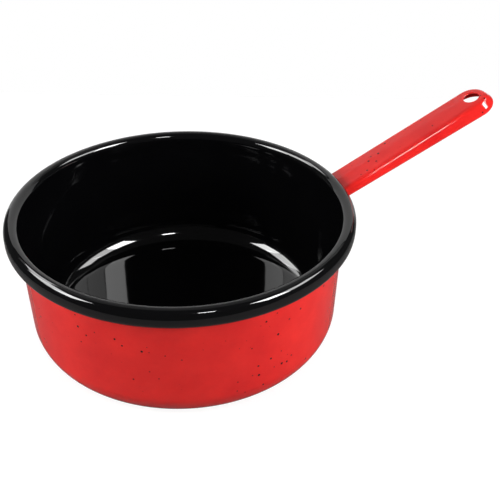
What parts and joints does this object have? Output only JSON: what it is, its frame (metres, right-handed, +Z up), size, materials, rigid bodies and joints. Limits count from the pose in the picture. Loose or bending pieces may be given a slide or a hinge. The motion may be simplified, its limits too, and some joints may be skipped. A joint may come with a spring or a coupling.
{
  "type": "saucepan",
  "caption": "Round enamelled steel saucepan with a rolled rim, a belly turned in to a flat base, and a straight sloping channel handle with a hanging hole.",
  "frame": {"origin": "on the bowl's axis, at the level of the flat base it stands on", "axes": "+Z up along the bowl's axis, +X out along the handle, +Y to the left of someone looking along +X"},
  "size_m": [0.3018, 0.2, 0.1194],
  "materials": {
    "sheet_steel": "bare low-carbon sheet steel, wholly under the enamel",
    "black_enamel": "glossy black glass enamel",
    "red_enamel": "glossy red glass enamel with sparse fine dark specks"
  },
  "bodies": {
    "root": {"bowl": "sheet_steel", "inner_enamel": "black_enamel", "outer_enamel": "red_enamel", "rim_enamel": "black_enamel", "handle": "sheet_steel", "handle_enamel": "red_enamel", "root_weld": "red_enamel"}
  },
  "joints": []
}
